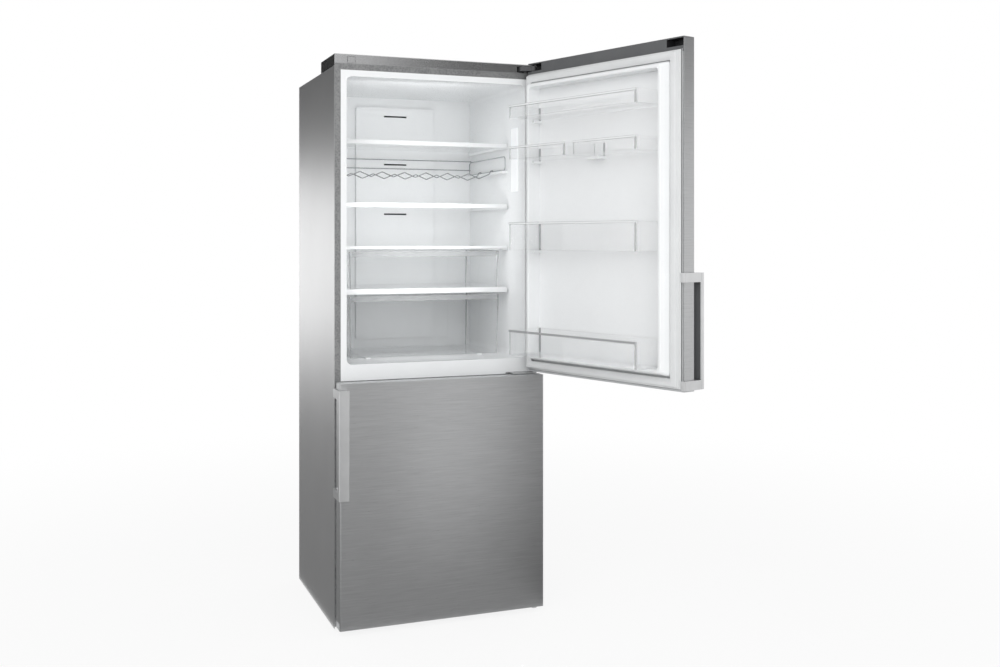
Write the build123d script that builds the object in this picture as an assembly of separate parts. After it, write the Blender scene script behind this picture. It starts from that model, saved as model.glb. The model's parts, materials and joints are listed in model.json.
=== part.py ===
from build123d import *
import math
import os

# Bottom-freezer refrigerator, in millimetres.
# Origin: on the floor, under the middle of the cabinet's front face. +Y runs to the back, +Z up.
# The upper door is shown standing open and the lower door shut.

# Cabinet
cabinet_width = 700.0
cabinet_height = 1850.0
cabinet_depth = 575.0
floor_gap = 6.0
panel_sheet = 1.0
frame_lift = 7.0
front_skin = 1.5
flange_width = 20.5
lip_width = 19.5
back_wall = 45.0
liner_wall = 1.5
liner_draft = 10.0
liner_corner = 18.0

# Raised cover over the front of the top, with the band that faces forward
cover_depth = 200.0
cover_rise = 39.0
cover_wall = 2.5
cover_edge = 3.0
band_height = 30.5

# Levels of the two compartments
freezer_door_bottom = 20.0
freezer_door_top = 798.0
door_split = 8.0
sill_height = 52.0
freezer_top_wall = 48.0
freezer_floor = 85.0

# Machine space at the bottom of the back
base_level = 34.0
base_sheet = 2.0
machine_depth = 245.0
machine_height = 194.0
hump_wall = 30.0

# Doors
door_reveal = 1.0
door_thickness = 48.0
door_stand_off = 24.0
door_sheet = 1.0
door_edge = 6.0
top_cap_height = 45.0
cap_height = 30.0
cap_end_height = 22.0
door_open_angle = 108.1
top_band = 37.0
liner_inset = 6.0
gasket_width = 28.0
gasket_clearance = 0.5
gasket_lean = 11.0
gasket_inner_lean = 4.0
gasket_corner = 4.0
skin_return = 8.0
ridge_foot = 4.0
ridge_lean = 14.0
ridge_width = 25.0
ridge_corner = 10.0
ridge_round = 4.0
ridge_reach = 50.0
freezer_ridge_reach = 30.0

# Hinges
pin_from_side = 20.0
pin_depth = 8.0
pin_radius = 5.0
pin_clearance = 0.08
pin_boss = 10.0
hinge_sheet = 4.0
lower_arm_lift = 1.0
lower_arm_sheet = 5.0
hinge_plate_width = 60.0
hinge_arm_height = 15.0
hinge_arm_width = 14.0
hinge_slot_width = 26.0
hinge_slot_height = 21.0
hinge_slot_inset = 56.0
slot_lift = 2.0
plug_gap = 0.8
pocket_length = 68.0
pocket_depth = 35.0
pocket_roof = 4.0
pocket_play = 2.0

# Handles
handle_length = 345.0
handle_width = 35.0
handle_thickness = 14.0
handle_gap = 16.0
handle_wrap = 10.0
handle_hook = 7.0
handle_lap = 5.5
handle_bracket_height = 28.0
handle_edge = 3.0
handle_wall = 4.0
handle_channel = 6.0
fridge_handle_lift = 5.0
freezer_handle_drop = 18.0

# Glass shelves, given by the height of the glass above the fridge compartment's floor
shelf_front = 138.0
shelf_back_gap = 18.0
shelf_glass = 4.0
shelf_side_gap = 2.0
upper_shelf_height = 734.0
middle_shelf_height = 522.0
crisper_cover_height = 377.0
divider_height = 236.0
divider_sheet = 6.0
trim_depth = 16.0
trim_edge = 2.5
shelf_trim_height = 15.0
cover_trim_height = 10.0
divider_trim_height = 18.0
ledge_width = 14.0
ledge_height = 8.0
seat_clearance = 0.3

# Wire bottle rack under the upper shelf
wire_radius = 1.8
wire_sides = 8
rack_drop = 86.5
rack_side_height = 47.5
rack_corner = 12.0
rack_side_gap = 6.0
rail_rise = 18.5
wave_length = 80.0
wave_swing = 8.5
wave_drop = 17.0
wave_bend = 8.0
wave_lead = 4.0
weld_gap = 0.1
wave_count = 2

# Clear drawers
drawer_side_gap = 38.0
drawer_front = 136.0
drawer_back_gap = 32.0
drawer_wall = 2.5
drawer_draft = 8.0
drawer_corner = 14.0
drawer_lip = 9.0
drawer_lip_height = 18.0
upper_drawer_height = 126.0
lower_drawer_height = 207.0
runner_height = 4.0
runner_width = 16.0
runner_spacing = 400.0
running_clearance = 0.4

# Bins on the door: the upper rows are placed from its top edge, the lower ones from its lower edge
bin_end_gap = 3.0
bin_reach = 138.0
bin_wall = 2.5
bin_corner = 5.0
bin_liner_gap = 0.5
bin_split = 38.0
rim_height = 7.0
rim_overhang = 1.0
rim_width = 4.5
top_bin_drop = 200.0
top_bin_height = 43.0
half_bin_drop = 335.0
half_bin_height = 42.0
middle_bin_level = 412.0
middle_bin_height = 91.0
bottle_bin_level = 69.0
bottle_bin_height = 82.0
lug_height = 8.0
lug_length = 34.0
lug_lap = 9.0

# Air duct and lamp in the fridge compartment
duct_width = 300.0
duct_depth = 12.0
duct_top_gap = 36.0
duct_floor_gap = 34.0
duct_corner = 10.0
slot_width = 88.0
slot_height = 6.0
slot_depth = 6.0
upper_slot_drop = 35.5
middle_slot_drop = 214.5
lower_slot_drop = 399.5
lamp_front = 60.0
lamp_length = 55.0
lamp_height = 220.0
lamp_proud = 4.0
lamp_top_gap = 140.0

# Freezer fittings
freezer_drawer_front = 18.0
freezer_drawer_side_gap = 28.0
freezer_drawer_front_wall = 6.0
freezer_shelf_back_gap = 7.0
freezer_lower_shelf = 212.0
freezer_upper_shelf = 440.0
freezer_drawer_head = 14.0
bottom_drawer_back_gap = 12.0
grip_width = 150.0
grip_height = 22.0
evaporator_space = 68.0
duct_cover_sheet = 4.0
fin_count = 14
fin_sheet = 1.2
fin_depth = 40.0
fin_height = 150.0
fin_pitch = 32.0
coil_tube_radius = 4.0
coil_rise = 60.0

# Fans
freezer_fan_radius = 52.0
machine_fan_radius = 55.0
fan_hub_radius = 16.0
fan_hub_length = 18.0
fan_hub_edge = 4.0
fan_blade_sheet = 2.0
fan_blade_width = 24.0
fan_blade_pitch = 32.0
fan_blade_count = 5
fan_shaft_radius = 3.0
fan_shaft_clearance = 0.05
fan_tip_gap = 4.0
motor_radius = 22.0
motor_length = 20.0
motor_edge = 2.0
freezer_fan_height = 170.0

# Machine space
compressor_radius = 72.0
compressor_height = 128.0
compressor_round = 24.0
compressor_bevel = 7.0
compressor_seam = 79.0
compressor_x = -150.0
mount_radius = 11.0
mount_height = 18.0
mount_spread = 60.0
tray_depth = 24.0
tray_wall = 2.0
tray_length = 170.0
tray_width = 130.0
condenser_tube_radius = 4.0
condenser_rows = 4
condenser_pitch = 34.0
condenser_length = 120.0
condenser_x = 190.0
condenser_post = 12.0
machine_fan_x = 20.0
vent_columns = 14
vent_pitch = 40.0
vent_width = 10.0
vent_height = 56.0
vent_gap = 18.0
cord_notch = 14.0

# Feet and rollers
foot_radius = 18.0
foot_height = 5.0
foot_stem_radius = 5.0
foot_inset = 52.0
foot_from_front = 40.0
stem_clearance = 0.3
roller_radius = 16.0
roller_width = 22.0
roller_edge = 2.0
roller_inset = 100.0
roller_from_back = 55.0
axle_radius = 4.0
axle_clearance = 0.06
fork_sheet = 3.0
fork_side_gap = 0.5
fork_margin = 6.0

# Control board under the top cover
board_length = 130.0
board_width = 90.0
board_sheet = 1.6
board_stand = 6.0
board_from_front = 60.0

# Derived places
half_width = cabinet_width / 2
inner_half = half_width - panel_sheet
top_level = cabinet_height - cover_rise
frame_top = cabinet_height - band_height
frame_bottom = floor_gap + frame_lift
lip_half = half_width - flange_width
opening_half = lip_half - lip_width
lip_top = frame_top - flange_width
fridge_ceiling = lip_top - lip_width
fridge_floor = freezer_door_top + sill_height
freezer_ceiling = freezer_door_top - freezer_top_wall
base_top = base_level + base_sheet
machine_front = cabinet_depth - machine_depth
machine_top = base_top + machine_height
hump_front = machine_front - hump_wall
hump_top = machine_top + hump_wall
back_face = cabinet_depth - panel_sheet
compartment_depth = cabinet_depth - back_wall
liner_back = compartment_depth + liner_wall
fridge_door_bottom = freezer_door_top + door_split
fridge_door_top = cabinet_height
door_half = half_width - door_reveal
door_inner = -door_stand_off
door_outer = door_inner - door_thickness
pin_x = door_half - pin_from_side
pin_y = door_inner - pin_depth
pin_hole = pin_radius + pin_clearance
slot_x = half_width - hinge_slot_inset
slot_bottom = frame_top + slot_lift
arm_bottom = slot_bottom + (hinge_slot_height - hinge_arm_height) / 2
arm_top = arm_bottom + hinge_arm_height
seal_top = fridge_door_top - top_band + liner_inset
middle_plate_bottom = freezer_door_top + (door_split - hinge_sheet) / 2
middle_plate_top = middle_plate_bottom + hinge_sheet
lower_arm_bottom = foot_height + lower_arm_lift
lower_arm_top = lower_arm_bottom + lower_arm_sheet
shelf_back = compartment_depth - shelf_back_gap
shelf_half = opening_half - liner_draft * shelf_back / compartment_depth - shelf_side_gap
rack_level = fridge_floor + upper_shelf_height - rack_drop
rack_half = shelf_half - rack_side_gap
divider_top = fridge_floor + divider_height
drawer_half_width = opening_half - drawer_side_gap
drawer_back = shelf_back - drawer_back_gap
ridge_half = opening_half + ridge_foot
bin_half_width = ridge_half - ridge_width - bin_end_gap
freezer_drawer_half_width = opening_half - freezer_drawer_side_gap
duct_cover_front = compartment_depth - evaporator_space
freezer_shelf_back = duct_cover_front - freezer_shelf_back_gap
machine_middle = (machine_front + back_face) / 2


def wall_at(y):
    """Half width inside the liners at a distance y behind the front."""
    return opening_half - liner_draft * y / compartment_depth


def block(x0, x1, y0, y1, z0, z1):
    size = Box(x1 - x0, y1 - y0, z1 - z0)
    return Pos((x0 + x1) / 2, (y0 + y1) / 2, (z0 + z1) / 2) * size


def plan(points, z0, z1):
    """An outline seen from above, raised from z0 to z1."""
    face = make_face(Polyline(*points, close=True))
    return extrude(Plane.XY.offset(z0) * face, z1 - z0)


def side_profile(points, x0, x1):
    """An outline of (y, z) points, drawn across the width from x0 to x1."""
    face = make_face(Polyline(*points, close=True))
    plane = Plane(origin=(x0, 0, 0), x_dir=(0, 1, 0), z_dir=(1, 0, 0))
    return extrude(plane * face, x1 - x0)


def facing(y):
    """The upright plane at depth y, with x to the right and z up."""
    return Plane(origin=(0, y, 0), x_dir=(1, 0, 0), z_dir=(0, -1, 0))


def upright_panel(x_half, z0, z1, corner, y0, y1):
    """A plate with rounded corners, standing across the width."""
    face = facing(y1) * Pos(0, (z0 + z1) / 2) * RectangleRounded(2 * x_half, z1 - z0, corner)
    return extrude(face, y1 - y0)


def slab(y0, y1, z0, z1, outside):
    """A slab that fills the width between the tapering liner walls."""
    front = wall_at(y0) + outside
    back = wall_at(y1) + outside
    return plan([(-front, y0), (front, y0), (back, y1), (-back, y1)], z0, z1)


def tunnel(y0, y1, z0, z1, corner, outside):
    """The fridge compartment's space, tapering to the back."""
    sections = []
    for y in (y0, y1):
        shape = RectangleRounded(2 * (wall_at(y) + outside), z1 - z0, corner)
        sections.append(facing(y) * Pos(0, (z0 + z1) / 2) * shape)
    return loft(sections, ruled=True)


def upright(x, y, radius, z0, z1):
    return Pos(x, y, (z0 + z1) / 2) * Cylinder(radius, z1 - z0)


def crosswise(y, z, radius, x0, x1):
    return Pos((x0 + x1) / 2, y, z) * Rot(0, 90, 0) * Cylinder(radius, x1 - x0)


def lengthwise(x, z, radius, y0, y1):
    return Pos(x, (y0 + y1) / 2, z) * Rot(90, 0, 0) * Cylinder(radius, y1 - y0)


def group(solids):
    return Compound(children=list(solids))


def tube(path, radius):
    """A wire or pipe along a path, with flats in place of a round section to keep its faces few."""
    section = Plane(origin=path @ 0, z_dir=path % 0) * RegularPolygon(radius, wire_sides)
    return sweep(section, path=path)


def open_tray(x0, x1, y0, y1, z0, z1, wall, draft, corner):
    """A box open at the top, whose walls lean out by draft towards the rim."""
    centre = Pos((x0 + x1) / 2, (y0 + y1) / 2)
    lean = math.degrees(math.atan2(draft, z1 - z0))

    def space(inset, floor):
        shrink = draft * (z1 - floor) / (z1 - z0)
        shape = RectangleRounded(x1 - x0 - 2 * (shrink + inset), y1 - y0 - 2 * (shrink + inset),
                                 corner - shrink - inset)
        return extrude(Plane.XY.offset(floor) * centre * shape, z1 - floor, taper=-lean)

    return space(0, z0) - space(wall, z0 + wall)


# Cabinet shell

def cabinet_panels():
    left = block(-half_width, -inner_half, 0, cabinet_depth, floor_gap, top_level)
    right = mirror(left, Plane.YZ)
    top = block(-inner_half, inner_half, front_skin, cabinet_depth, top_level - panel_sheet, top_level)
    return group([left, right, top])


def back_panel():
    return block(-inner_half, inner_half, back_face, cabinet_depth, machine_top, top_level - panel_sheet)


def front_frame():
    """Flat steel strips round both openings: two stiles and three rails."""
    stile = block(lip_half, inner_half, 0, front_skin, frame_bottom, frame_top)
    strips = [stile, mirror(stile, Plane.YZ)]
    rails = [
        (lip_top, frame_top),
        (freezer_ceiling + lip_width, freezer_door_top),
        (frame_bottom, freezer_floor - lip_width),
    ]
    for z0, z1 in rails:
        strips.append(block(-lip_half, lip_half, 0, front_skin, z0, z1))
    return group(strips)


def insulation():
    outer = inner_half
    side = plan(
        [
            (outer, front_skin),
            (wall_at(front_skin) + liner_wall, front_skin),
            (wall_at(liner_back) + liner_wall, liner_back),
            (outer, liner_back),
        ],
        base_top,
        top_level - panel_sheet,
    )
    pieces = [side, mirror(side, Plane.YZ)]
    pieces.append(block(-outer, outer, liner_back, back_face, machine_top, top_level - panel_sheet))
    bays = [
        (front_skin, liner_back, fridge_ceiling + liner_wall, top_level - panel_sheet),
        (front_skin, liner_back, freezer_ceiling + liner_wall, fridge_floor - liner_wall),
        (front_skin, hump_front + liner_wall, base_top, freezer_floor - liner_wall),
        (hump_front + liner_wall, machine_front, base_top, machine_top),
        (hump_front + liner_wall, liner_back, machine_top, hump_top - liner_wall),
    ]
    for y0, y1, z0, z1 in bays:
        pieces.append(slab(y0, y1, z0, z1, liner_wall))
    return group(pieces)


def side_ledge(y0, y1, top, width, height):
    """A moulded ledge on each side wall, rooted halfway into the wall."""
    root = liner_wall / 2
    inner = wall_at(y1) - width
    right = plan(
        [(inner, y0), (wall_at(y0) + root, y0), (wall_at(y1) + root, y1), (inner, y1)],
        top - height,
        top,
    )
    return right + mirror(right, Plane.YZ)


def fridge_liner():
    outer = tunnel(0, liner_back, fridge_floor - liner_wall, fridge_ceiling + liner_wall,
                   liner_corner + liner_wall, liner_wall)
    lip = block(-lip_half, lip_half, 0, front_skin, freezer_door_top, lip_top)
    inner = tunnel(-liner_wall, compartment_depth, fridge_floor, fridge_ceiling, liner_corner, 0)
    liner = outer + lip - inner
    ledge_y0 = shelf_front + trim_depth
    glass_levels = [upper_shelf_height, middle_shelf_height, crisper_cover_height]
    tops = [fridge_floor + level - shelf_glass for level in glass_levels]
    tops.append(divider_top - divider_sheet)
    tops.append(rack_level - wire_radius)
    for top in tops:
        liner += side_ledge(ledge_y0, shelf_back, top - seat_clearance, ledge_width, ledge_height)
    for side in (-1, 1):
        x = side * runner_spacing / 2
        liner += block(x - runner_width / 2, x + runner_width / 2, drawer_front + drawer_corner,
                       drawer_back - drawer_corner, fridge_floor - liner_wall / 2,
                       fridge_floor + runner_height)
    return liner


def freezer_liner():
    far = cabinet_depth
    outer = slab(0, liner_back, freezer_floor - liner_wall, freezer_ceiling + liner_wall, liner_wall)
    outer -= block(-far, far, hump_front + liner_wall, far, 0, hump_top - liner_wall)
    inner = slab(-liner_wall, compartment_depth, freezer_floor, freezer_ceiling, 0)
    inner -= block(-far, far, hump_front, far, 0, hump_top)
    lip = block(-lip_half, lip_half, 0, front_skin, freezer_floor - lip_width, freezer_ceiling + lip_width)
    liner = outer + lip - inner
    for level in (freezer_lower_shelf, freezer_upper_shelf):
        top = freezer_floor + level - shelf_glass - seat_clearance
        front = freezer_drawer_front + trim_depth
        liner += side_ledge(front, freezer_shelf_back, top, ledge_width, ledge_height)
    return liner


def hinge_slot(side):
    """The slot in the front band that a top hinge arm comes through."""
    x = side * slot_x
    return block(x - hinge_slot_width / 2, x + hinge_slot_width / 2, -cover_wall, 3 * cover_wall,
                 slot_bottom, slot_bottom + hinge_slot_height)


def top_cover():
    cover = block(-half_width, half_width, 0, cover_depth, top_level, cabinet_height)
    top_edges = cover.edges().group_by(Axis.Z)[-1]
    cover = fillet(top_edges, cover_edge)
    cover -= block(-half_width + cover_wall, half_width - cover_wall, front_skin + cover_wall,
                   cover_depth - cover_wall, top_level, cabinet_height - cover_wall)
    cover -= block(-half_width, half_width, -front_skin, front_skin, top_level, frame_top)
    for side in (-1, 1):
        cover -= hinge_slot(side)
    return cover


def hinge_slot_plug():
    x = -slot_x
    half = hinge_slot_width / 2 - plug_gap
    return block(x - half, x + half, -seat_clearance, front_skin + cover_wall,
                 slot_bottom + seat_clearance, slot_bottom + hinge_slot_height - plug_gap)


def control_board():
    y0 = board_from_front
    z0 = top_level + board_stand
    board = block(-board_length / 2, board_length / 2, y0, y0 + board_width, z0, z0 + board_sheet)
    for x in (-0.42, 0.42):
        for y in (0.12, 0.88):
            board += upright(x * board_length, y0 + y * board_width, board_stand / 2, top_level, z0)
    z1 = z0 + board_sheet
    board += block(-0.3 * board_length, -0.1 * board_length, y0 + 0.2 * board_width, y0 + 0.6 * board_width,
                   z1, z1 + board_stand)
    board += block(0.1 * board_length, 0.35 * board_length, y0 + 0.3 * board_width, y0 + 0.5 * board_width,
                   z1, z1 + 2 * board_stand)
    return board


# Hinges, feet and base

def top_hinge():
    mount_y = front_skin + cover_wall + pocket_play
    plate = block(slot_x - hinge_plate_width / 2, slot_x + hinge_plate_width / 2, mount_y,
                  mount_y + hinge_plate_width, top_level, top_level + hinge_sheet)
    half_arm = hinge_arm_width / 2
    shank = block(slot_x - half_arm, slot_x + half_arm, -door_stand_off / 2, mount_y + hinge_plate_width / 2,
                  arm_bottom, arm_top)
    post = block(slot_x - half_arm, slot_x + half_arm, mount_y, mount_y + hinge_plate_width / 2,
                 top_level, arm_top)
    start = Vector(slot_x, -door_stand_off / 2)
    reach = Vector(pin_x, pin_y) - start
    turn = math.degrees(math.atan2(reach.Y, reach.X))
    middle = start + reach * 0.5
    bar = Pos(middle.X, middle.Y, (arm_bottom + arm_top) / 2) * Rot(0, 0, turn) * Box(
        reach.length, hinge_arm_width, hinge_arm_height)
    elbow = upright(start.X, start.Y, half_arm, arm_bottom, arm_top)
    eye = upright(pin_x, pin_y, pin_boss, arm_bottom, arm_top)
    pin = upright(pin_x, pin_y, pin_radius, cabinet_height - top_cap_height + pocket_play, arm_bottom)
    return plate + post + shank + bar + elbow + eye + pin


def middle_hinge():
    x0 = pin_x - 1.5 * hinge_plate_width
    leg = block(x0, pin_x - pin_boss, -hinge_sheet, 0, middle_plate_bottom - hinge_sheet, middle_plate_top)
    plate = block(x0 + pin_boss, pin_x, pin_y - pin_boss, 0, middle_plate_bottom, middle_plate_top)
    plate += upright(pin_x, pin_y, pin_boss, middle_plate_bottom, middle_plate_top)
    plate += block(pin_x, pin_x + pin_boss, pin_y, 0, middle_plate_bottom, middle_plate_top)
    half_cap = cap_height / 2
    pin = upright(pin_x, pin_y, pin_radius, middle_plate_bottom - half_cap, middle_plate_top + half_cap)
    return leg + plate + pin


def lower_hinge():
    x0 = pin_x - hinge_plate_width
    rear = foot_from_front + foot_radius
    arm = block(x0, pin_x, pin_y, rear, lower_arm_bottom, lower_arm_top)
    arm += upright(pin_x, pin_y, pin_boss, lower_arm_bottom, lower_arm_top)
    web_y = foot_from_front - foot_radius
    web = block(x0, pin_x, web_y - hinge_sheet, web_y, lower_arm_bottom, base_level)
    flange = block(x0, pin_x, web_y - hinge_sheet, rear, base_level - hinge_sheet, base_level)
    pin = upright(pin_x, pin_y, pin_radius, lower_arm_bottom, freezer_door_bottom + cap_height / 2)
    hole_radius = foot_stem_radius + stem_clearance
    hole = upright(half_width - foot_inset, foot_from_front, hole_radius, 0, lower_arm_top)
    return arm + web + flange + pin - hole


def levelling_foot(x, stem_top):
    pad = upright(x, foot_from_front, foot_radius, 0, foot_height)
    stem = upright(x, foot_from_front, foot_stem_radius, foot_height, stem_top)
    return pad + stem


def front_left_foot():
    return levelling_foot(-(half_width - foot_inset), base_level)


def front_right_foot():
    return levelling_foot(half_width - foot_inset, base_level - hinge_sheet)


def roller_places():
    y = back_face - roller_from_back
    x = half_width - roller_inset
    return [(-x, y), (x, y)]


def base_plate():
    plate = block(-inner_half, inner_half, front_skin, back_face, base_level, base_top)
    cheek = roller_width / 2 + fork_side_gap
    fork_half = axle_radius + fork_margin
    fork_bottom = roller_radius - axle_radius - fork_margin / 2
    for x, y in roller_places():
        for side in (-1, 1):
            x0 = x + side * (cheek + fork_sheet / 2)
            plate += block(x0 - fork_sheet / 2, x0 + fork_sheet / 2, y - fork_half, y + fork_half,
                           fork_bottom, base_level)
        plate -= crosswise(y, roller_radius, axle_radius + axle_clearance, x - roller_width, x + roller_width)
    return plate


def roller_axles():
    reach = roller_width / 2 + fork_side_gap + fork_sheet
    return group([crosswise(y, roller_radius, axle_radius, x - reach, x + reach) for x, y in roller_places()])


def rear_roller(place):
    x, y = place
    half = roller_width / 2
    tyre = crosswise(y, roller_radius, roller_radius, x - half, x + half)
    tyre = chamfer(tyre.edges(), roller_edge)
    return tyre - crosswise(y, roller_radius, axle_radius + axle_clearance, x - half, x + half)


# Machine space

def compressor():
    base = base_top + mount_height
    top = base + compressor_height
    seam = base + compressor_seam
    side = compressor_radius
    flange = compressor_radius + hinge_sheet
    inner = compressor_radius - compressor_round
    bevel = compressor_radius - compressor_bevel
    profile = [
        (0, base),
        (inner, base),
        (bevel, base + compressor_bevel),
        (side, base + compressor_round),
        (side, seam),
        (flange, seam),
        (flange, seam + hinge_sheet),
        (side, seam + hinge_sheet),
        (side, top - compressor_round),
        (bevel, top - compressor_bevel),
        (inner, top),
        (0, top),
    ]
    pot = revolve(Plane.XZ * make_face(Polyline(*profile, close=True)), Axis.Z)
    shell = Pos(compressor_x, machine_middle) * pot
    half = mount_spread + mount_radius
    feet = block(compressor_x - half, compressor_x + half, machine_middle - half, machine_middle + half,
                 base, base + hinge_sheet)
    mounts = []
    for x in (-mount_spread, mount_spread):
        for y in (-mount_spread, mount_spread):
            mounts.append(upright(compressor_x + x, machine_middle + y, mount_radius, base_top, base))
    return group([shell + feet] + mounts)


def drip_tray():
    z0 = base_top + mount_height + compressor_height + seat_clearance
    return open_tray(compressor_x - tray_length / 2, compressor_x + tray_length / 2,
                     machine_middle - tray_width / 2, machine_middle + tray_width / 2,
                     z0, z0 + tray_depth, tray_wall, tray_wall, drawer_corner)


def condenser_coil():
    """A serpentine of level runs joined by half turns, on two posts."""
    z = base_top + condenser_post
    half = condenser_length / 2
    path = []
    for row in range(condenser_rows):
        direction = 1 if row % 2 == 0 else -1
        start = (condenser_x, machine_middle - direction * half, z)
        end = (condenser_x, machine_middle + direction * half, z)
        path.append(Line(start, end))
        if row < condenser_rows - 1:
            turn_y = machine_middle + direction * (half + condenser_pitch / 2)
            outer = (condenser_x, turn_y, z + condenser_pitch / 2)
            path.append(ThreePointArc(end, outer, (condenser_x, end[1], z + condenser_pitch)))
        z += condenser_pitch
    coil = tube(Wire(path), condenser_tube_radius)
    for y in (-half / 2, half / 2):
        post_y = machine_middle + y
        coil += block(condenser_x - fin_sheet, condenser_x + fin_sheet, post_y - condenser_post / 2,
                      post_y + condenser_post / 2, base_top, z - condenser_pitch)
    return coil


def fan(radius):
    """A five-bladed fan about the z axis, with its hub standing on the origin."""
    hub = extrude(Circle(fan_hub_radius), fan_hub_length)
    hub = chamfer(hub.edges().sort_by(Axis.Z)[-1], fan_hub_edge)
    length = radius - fan_hub_radius * 0.7
    for index in range(fan_blade_count):
        place = Pos(fan_hub_radius * 0.7 + length / 2, 0, fan_hub_length / 2)
        blade = place * Rot(fan_blade_pitch, 0, 0) * Box(length, fan_blade_width, fan_blade_sheet)
        hub += Rot(0, 0, 360 / fan_blade_count * index) * blade
    return hub - extrude(Circle(fan_shaft_radius + fan_shaft_clearance), fan_hub_length * 0.8)


def motor(reach):
    """A round motor below the origin, with its shaft standing up by reach."""
    body = extrude(Circle(motor_radius), -motor_length)
    body = chamfer(body.edges(), motor_edge)
    return body + extrude(Circle(fan_shaft_radius), reach)


def machine_fan_place():
    return Pos(machine_fan_x, machine_middle, base_top + machine_fan_radius + fan_tip_gap * 2) * Rot(0, 90, 0)


def condenser_fan():
    return machine_fan_place() * fan(machine_fan_radius)


def condenser_fan_motor():
    unit = machine_fan_place() * Pos(0, 0, -fan_tip_gap) * motor(fan_tip_gap + fan_hub_length * 0.6)
    x = machine_fan_x - fan_tip_gap - motor_length
    post_top = base_top + machine_fan_radius + fan_tip_gap * 2
    post_half = motor_radius / 2
    unit += block(x, x + motor_length / 2, machine_middle - post_half, machine_middle + post_half,
                  base_top, post_top)
    return unit


def rear_cover():
    half = inner_half - seat_clearance
    cover = block(-half, half, back_face, cabinet_depth, base_level, machine_top - seat_clearance)
    first = -(vent_columns - 1) * vent_pitch / 2
    z0 = base_top + (machine_height - 2 * vent_height - vent_gap) / 2
    for column in range(vent_columns):
        x = first + column * vent_pitch
        for z in (z0, z0 + vent_height + vent_gap):
            cover -= block(x - vent_width / 2, x + vent_width / 2, back_face - panel_sheet,
                           cabinet_depth + panel_sheet, z, z + vent_height)
    notch_x = half - foot_inset
    notch = lengthwise(notch_x, base_level, cord_notch / 2, back_face - panel_sheet,
                       cabinet_depth + panel_sheet)
    return cover - notch


# Inside the fridge compartment

def shelf_glass_plate(height):
    top = fridge_floor + height
    return block(-shelf_half, shelf_half, shelf_front + trim_depth / 2, shelf_back, top - shelf_glass, top)


def shelf_trim(height, tall):
    """A moulded strip with a slot that holds the front edge of the glass."""
    top = fridge_floor + height
    low = top - shelf_glass / 2 - tall / 2
    high = top - shelf_glass / 2 + tall / 2
    strip = block(-shelf_half, shelf_half, shelf_front, shelf_front + trim_depth, low, high)
    front_edges = strip.edges().filter_by(Axis.X).group_by(Axis.Y)[0]
    strip = fillet(front_edges, trim_edge)
    return strip - shelf_glass_plate(height)


def shelf_trims():
    return group([
        shelf_trim(upper_shelf_height, shelf_trim_height),
        shelf_trim(middle_shelf_height, shelf_trim_height),
        shelf_trim(crisper_cover_height, cover_trim_height),
    ])


def drawer_divider():
    plate = block(-shelf_half, shelf_half, shelf_front, shelf_back, divider_top - divider_sheet, divider_top)
    rim = block(-shelf_half, shelf_half, shelf_front, shelf_front + trim_depth / 2,
                divider_top - divider_trim_height, divider_top)
    return plate + rim


def wave_wire(y):
    """One wavy wire across the rack, with ends that rise and lie over the side loops."""
    low = rack_level - wave_drop
    over = rack_level + 2 * wire_radius + weld_gap
    tip = rack_half + wire_radius
    rise_end = rack_half - wave_bend
    waves = int(2 * (rise_end - wave_lead) / wave_length)
    end = waves * wave_length / 2
    points = [(-tip, y, over), (-rise_end, y, over)]
    for index in range(2 * waves + 1):
        swing = wave_swing if index % 2 == 0 else -wave_swing
        points.append((-end + index * wave_length / 2, y, low + swing))
    points += [(rise_end, y, over), (tip, y, over)]
    return tube(FilletPolyline(*points, radius=wave_bend), wire_radius)


def wine_rack():
    """Two side loops, two rails at the back and wavy wires laid over the loops, welded where they cross."""
    y0 = shelf_front + wire_radius
    y1 = shelf_back - wire_radius
    top = rack_level + rack_side_height
    wires = []
    for side in (-1, 1):
        plane = Plane(origin=(side * rack_half, 0, 0), x_dir=(0, 1, 0), z_dir=(1, 0, 0))
        outline = RectangleRounded(y1 - y0, rack_side_height, rack_corner)
        loop = (plane * Pos((y0 + y1) / 2, (rack_level + top) / 2) * outline).wire()
        wires.append(tube(loop, wire_radius))
    cross = 2 * wire_radius + weld_gap
    tip = rack_half + wire_radius
    for y, z in ((y1 - rack_corner, top + cross), (y1 - cross, rack_level + rail_rise)):
        wires.append(tube(Line((-tip, y, z), (tip, y, z)), wire_radius))
    step = (y1 - y0) / (wave_count + 1)
    for index in range(wave_count):
        wires.append(wave_wire(y0 + step * (index + 1)))
    return group(wires)


def fridge_duct_cover():
    z0 = fridge_floor + duct_floor_gap
    z1 = fridge_ceiling - duct_top_gap
    front = compartment_depth - duct_depth
    cover = upright_panel(duct_width / 2, z0, z1, duct_corner, front, compartment_depth)
    for drop in (upper_slot_drop, middle_slot_drop, lower_slot_drop):
        z = z1 - drop
        cover -= block(-slot_width / 2, slot_width / 2, front, front + slot_depth, z, z + slot_height)
    return cover


def interior_lamp():
    y0 = lamp_front
    y1 = lamp_front + lamp_length
    z1 = fridge_ceiling - lamp_top_gap
    outline = [
        (wall_at(y0), y0),
        (wall_at(y1), y1),
        (wall_at(y1) - lamp_proud, y1 - lamp_proud),
        (wall_at(y0) - lamp_proud, y0 + lamp_proud),
    ]
    return plan(outline, z1 - lamp_height, z1)


def clear_drawer(floor_level, height):
    tray = open_tray(-drawer_half_width, drawer_half_width, drawer_front, drawer_back, floor_level,
                     floor_level + height, drawer_wall, drawer_draft, drawer_corner)
    top = floor_level + height
    half = drawer_half_width - drawer_corner
    lip = side_profile(
        [
            (drawer_front + drawer_wall / 2, top),
            (drawer_front - drawer_lip, top),
            (drawer_front - drawer_lip, top - drawer_wall),
            (drawer_front + drawer_wall / 2, top - drawer_lip_height),
        ],
        -half,
        half,
    )
    return tray + lip


def upper_drawer():
    return clear_drawer(divider_top + running_clearance, upper_drawer_height)


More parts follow.
